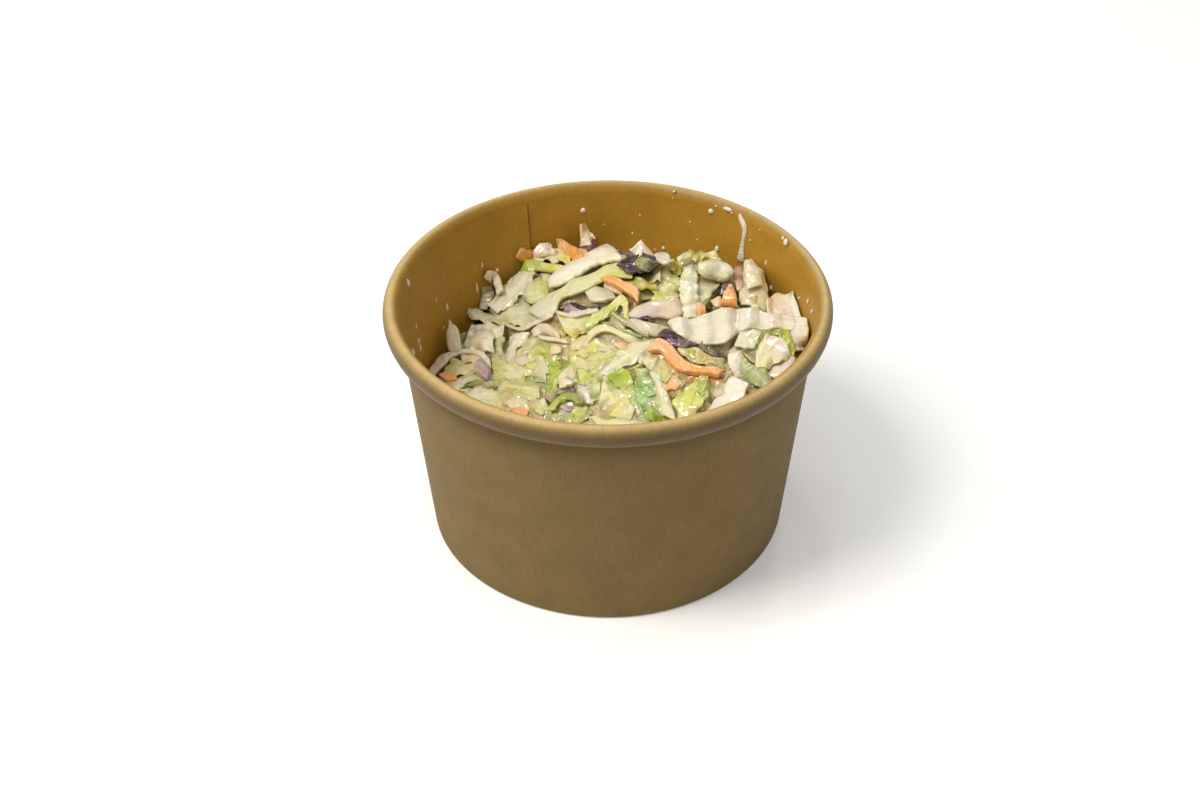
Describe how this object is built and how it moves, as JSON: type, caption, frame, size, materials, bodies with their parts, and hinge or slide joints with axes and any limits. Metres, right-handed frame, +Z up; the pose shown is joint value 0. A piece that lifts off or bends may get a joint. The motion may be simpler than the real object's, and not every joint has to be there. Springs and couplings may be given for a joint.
{
  "type": "coleslaw in a paper cup",
  "caption": "Creamy coleslaw of shredded cabbage and carrot heaped loosely in an open kraft paper cup with a rolled rim.",
  "frame": {"origin": "centre of the circle that the foot of the cup stands on", "axes": "+Z up along the cup's axis, -Y towards the viewer, +X to the viewer's right"},
  "size_m": [0.115, 0.115, 0.0695],
  "materials": {
    "kraft_wall": "brown kraft board with a thin glossy moisture-proof coat",
    "kraft_base": "brown kraft board with a thin glossy moisture-proof coat",
    "salad": "wet shreds in a creamy dressing"
  },
  "bodies": {
    "root": {"cup_wall": "kraft_wall", "cup_base": "kraft_base", "coleslaw": "salad"}
  },
  "joints": []
}
